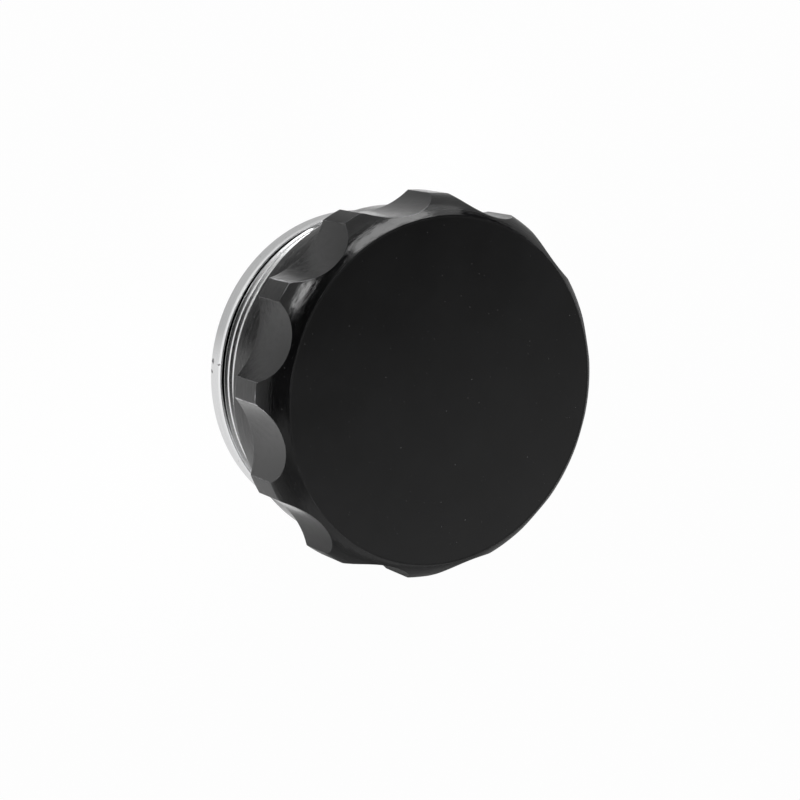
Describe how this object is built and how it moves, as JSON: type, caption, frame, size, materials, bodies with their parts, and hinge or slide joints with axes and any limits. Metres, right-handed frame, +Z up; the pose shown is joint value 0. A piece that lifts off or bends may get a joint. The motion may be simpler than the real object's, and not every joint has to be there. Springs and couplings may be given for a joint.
{
  "type": "weld-on filler neck",
  "caption": "Turned weld-on filler neck with an outside thread, closed by a bevelled screw cap whose grip is milled with scallops and whose underside holds a gasket.",
  "frame": {"origin": "centre of the neck's weld face", "axes": "+Z up the common axis from the weld face to the cap's face, +X through the middle of a scallop"},
  "size_m": [0.0744, 0.0744, 0.0362],
  "materials": {
    "bare_aluminium": "bare turned aluminium",
    "black_anodised": "black anodised, turned and milled",
    "gasket_rubber": "smooth black rubber"
  },
  "bodies": {
    "neck": {"filler_neck": "bare_aluminium"},
    "gasket": {"cap_gasket": "gasket_rubber"},
    "cap": {"filler_cap": "black_anodised"}
  },
  "joints": [
    {"name": "cap_lift", "type": "slide", "parent": "neck", "child": "gasket", "axis": [0, 0, 1], "range_m": [0, 0.012]},
    {"name": "cap_turn", "type": "hinge", "parent": "gasket", "child": "cap", "pos_m": [0, 0, 0.02905], "axis": [0, 0, 1], "range_deg": [0, 2160]}
  ],
  "couplings": [
    {"joint": "cap_lift", "follows": "cap_turn", "m_per_rad": 0.00031831}
  ]
}
